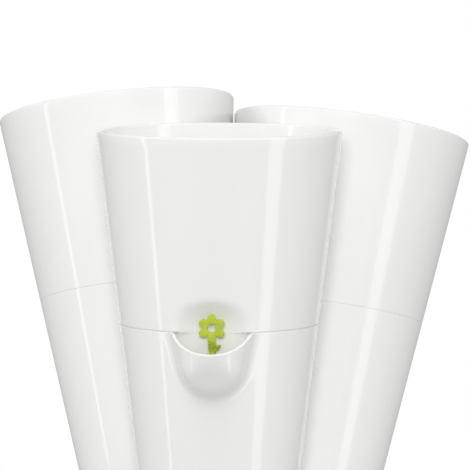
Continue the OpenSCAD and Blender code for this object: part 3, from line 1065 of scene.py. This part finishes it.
class PLANTER_OT_gauges(bpy.types.Operator):
    """Makes the three flower gauges with their floats"""

    bl_idname = "planter.gauges"
    bl_label = "Flower gauges"

    def execute(self, context):
        n = Layout(context.scene)
        finish = context.scene.planter_finish
        gauge = joined([flower_head(n), gauge_stem(n), gauge_leaf(n), gauge_peg(n)], "flower_gauge")
        lime = kept_material(lime_plastic, finish.lime)
        in_each_pot(n, gauge, "flower_gauge", "level", lime, "gauge")
        foam = kept_material(bead_foam, finish.foam)
        in_each_pot(n, foam_float(n), "foam_float", "level", foam, "float")
        return {"FINISHED"}


class PLANTER_OT_cages(bpy.types.Operator):
    """Gives the float cages their frosted finish"""

    bl_idname = "planter.cages"
    bl_label = "Float cages"

    def execute(self, context):
        grey = kept_material(frosted_grey, context.scene.planter_finish.frosted)
        for pot in POTS:
            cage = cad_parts[f"{pot}_float_cage"]
            cage.data.materials.clear()
            cage.data.materials.append(grey)
        return {"FINISHED"}


class PLANTER_OT_felts(bpy.types.Operator):
    """Makes the felt mats and the wick strips"""

    bl_idname = "planter.felts"
    bl_label = "Felt mats and wicks"

    def execute(self, context):
        n = Layout(context.scene)
        felt = kept_material(wick_felt, context.scene.planter_finish.felt)
        mats = in_each_pot(n, felt_mat(n), "felt_mat", "planter", felt, "wick_mat")
        for side, tag in ((-1, "a"), (1, "b")):
            strip = felt_strip(n, side)
            strips = in_each_pot(n, strip, f"felt_strip_{tag}", "planter", felt, f"wick_{tag}")
            for pot, strip in zip(POTS, strips):
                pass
        return {"FINISHED"}


class PLANTER_OT_stand(bpy.types.Operator):
    """Makes the base plate and the three sockets"""

    bl_idname = "planter.stand"
    bl_label = "Stand"

    def execute(self, context):
        n = Layout(context.scene)
        white = kept_material(glossy_white, context.scene.planter_finish.white)
        made = [(plate_shell(n), "stand_plate", "base_plate")]
        made += [(socket_shell(n, i), f"{pot}_stand_socket", f"{pot}_socket") for i, pot in enumerate(POTS)]
        for piece, name, node in made:
            named(piece, name)
            piece.data.materials.clear()
            piece.data.materials.append(white)
            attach(piece, "stand")
            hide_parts(node)
        return {"FINISHED"}


def viewed_from(azimuth, elevation):
    """Direction from the planter toward a place, with azimuth 0 in front."""
    level = math.cos(elevation)
    return Vector((math.sin(azimuth) * level, -math.cos(azimuth) * level, math.sin(elevation)))


def soft_light(name, azimuth, elevation, distance, wide, tall, power, aim=(0.0, 0.0, 0.15)):
    """A soft studio light, aimed at the planter from a direction given in degrees."""
    away = viewed_from(math.radians(azimuth), math.radians(elevation))
    lamp = bpy.data.lights.new(name, "AREA")
    lamp.shape = "RECTANGLE"
    lamp.size = wide
    lamp.size_y = tall
    lamp.energy = power
    rig = bpy.data.objects.new(name, lamp)
    rig.location = Vector(aim) + away * distance
    rig.rotation_euler = (-away).to_track_quat("-Z", "Y").to_euler()
    rig.visible_camera = False
    bpy.context.scene.collection.objects.link(rig)
    return rig


def studio_world(scene, around=0.48, seen=1.0):
    """A white background for the camera and a softer grey surround for the light."""
    world = bpy.data.worlds.new("studio")
    world.use_nodes = True
    scene.world = world
    tree = world.node_tree
    tree.nodes.clear()
    out = tree.nodes.new("ShaderNodeOutputWorld")
    path = tree.nodes.new("ShaderNodeLightPath")
    mix = tree.nodes.new("ShaderNodeMixShader")
    tree.links.new(path.outputs["Is Camera Ray"], mix.inputs["Fac"])
    for place, strength in ((1, around), (2, seen)):
        white = tree.nodes.new("ShaderNodeBackground")
        white.inputs["Color"].default_value = (1.0, 1.0, 1.0, 1.0)
        white.inputs["Strength"].default_value = strength
        tree.links.new(white.outputs["Background"], mix.inputs[place])
    tree.links.new(mix.outputs["Shader"], out.inputs["Surface"])


def photo_camera(n):
    """A long lens at the photograph's viewing angle."""
    azimuth, elevation, roll = math.radians(3.861), math.radians(-3.12), math.radians(0.607)
    away = 2.4
    below_rim, aside = 0.05113, 0.003815
    picture_px, focal_px = 470.0, 4430.671
    sensor_mm = 36.0
    back = viewed_from(azimuth, elevation)
    right = Vector((math.cos(azimuth), math.sin(azimuth), 0.0))
    up = back.cross(right)
    side = right * math.cos(roll) + up * math.sin(roll)
    top = up * math.cos(roll) - right * math.sin(roll)
    rim_z = n.first_z + n.total * math.cos(n.lean)
    target = Vector((0.0, 0.0, rim_z - below_rim)) + side * aside
    lens = bpy.data.cameras.new("photo_camera")
    lens.sensor_width = sensor_mm
    lens.lens = sensor_mm * focal_px / picture_px
    lens.clip_start = 0.05
    lens.clip_end = 50.0
    camera = bpy.data.objects.new("photo_camera", lens)
    turn = Matrix((side, top, back)).transposed().to_4x4()
    camera.matrix_world = Matrix.Translation(target + back * away) @ turn
    bpy.context.scene.collection.objects.link(camera)
    bpy.context.scene.camera = camera


class PLANTER_OT_stage(bpy.types.Operator):
    """Lays the floor and sets the light and the camera"""

    bl_idname = "planter.stage"
    bl_label = "Stage"

    def execute(self, context):
        scene = context.scene
        clear_selection()
        bpy.ops.mesh.primitive_grid_add(x_subdivisions=8, y_subdivisions=8, size=12.0)
        floor = context.object
        floor.name = "floor"
        floor.data.materials.append(kept_material(pale_floor, scene.planter_finish.floor))
        # The leaning pots mirror what lies below them, so the floor is kept out of reflections
        # and bounced light, and the surround lights them from below too.
        floor.visible_glossy = False
        floor.visible_diffuse = False
        floor.visible_shadow = False
        studio_world(scene)
        # The tall strips are seen only as reflections: name, azimuth, width and power.
        strip_distance, strip_tall = 1.6, 5.0
        strips = (
            ("left_strip", -68.5, 0.10, 4.0),
            ("right_strip", 59.0, 0.41, 12.0),
        )
        for name, azimuth, wide, power in strips:
            strip = soft_light(name, azimuth, 0.0, strip_distance, wide, strip_tall, power)
            strip.visible_diffuse = False
        # The boxes light without reflections: name, azimuth, elevation, width, distance and power.
        boxes = (
            ("front_box", 2.0, 7.0, 0.9, 4.0, 54.0),
            ("top_box", 2.0, 55.0, 1.8, 2.3, 10.5),
            ("left_fill", -78.0, 16.0, 1.2, 4.0, 30.0),
            ("right_fill", 78.0, 16.0, 1.2, 4.0, 22.0),
            ("back_box", 180.0, 40.0, 1.6, 2.3, 16.0),
        )
        for name, azimuth, elevation, wide, distance, power in boxes:
            box = soft_light(name, azimuth, elevation, distance, wide, wide, power)
            box.visible_glossy = False
        scene.view_settings.view_transform = "Standard"
        scene.view_settings.look = "None"
        photo_camera(Layout(scene))
        return {"FINISHED"}


class PLANTER_PT_panel(bpy.types.Panel):
    """Lists the planter's sizes, finishes and steps"""

    bl_idname = "PLANTER_PT_panel"
    bl_label = "Herb planter"
    bl_space_type = "VIEW_3D"
    bl_region_type = "UI"
    bl_category = "Planter"

    def draw(self, context):
        layout = self.layout
        for holder in HOLDERS:
            group = getattr(context.scene, holder)
            box = layout.box()
            for key in group.__annotations__:
                box.prop(group, key)
        for step in STEPS:
            layout.operator(step.bl_idname)


HOLDERS = {
    "planter_sizes": PlanterSizes,
    "planter_pocket": PocketSizes,
    "planter_gauge": GaugeSizes,
    "planter_wick": WickSizes,
    "planter_finish": PlanterFinish,
}
STEPS = (
    PLANTER_OT_pots,
    PLANTER_OT_tanks,
    PLANTER_OT_gauges,
    PLANTER_OT_cages,
    PLANTER_OT_felts,
    PLANTER_OT_stand,
    PLANTER_OT_stage,
)


def register():
    """Registers the sizes, the steps and the panel."""
    for holder, group in HOLDERS.items():
        bpy.utils.register_class(group)
        setattr(bpy.types.Scene, holder, PointerProperty(type=group))
    for step in STEPS:
        bpy.utils.register_class(step)
    bpy.utils.register_class(PLANTER_PT_panel)


def unregister():
    """Takes the panel, the steps and the sizes out again."""
    bpy.utils.unregister_class(PLANTER_PT_panel)
    for step in reversed(STEPS):
        bpy.utils.unregister_class(step)
    for holder, group in HOLDERS.items():
        delattr(bpy.types.Scene, holder)
        bpy.utils.unregister_class(group)


def main():
    """Builds the planter on its stage."""
    register()
    bpy.ops.planter.pots()
    bpy.ops.planter.tanks()
    bpy.ops.planter.gauges()
    bpy.ops.planter.cages()
    bpy.ops.planter.felts()
    bpy.ops.planter.stand()
    bpy.ops.planter.stage()


if __name__ == "__main__":
    main()
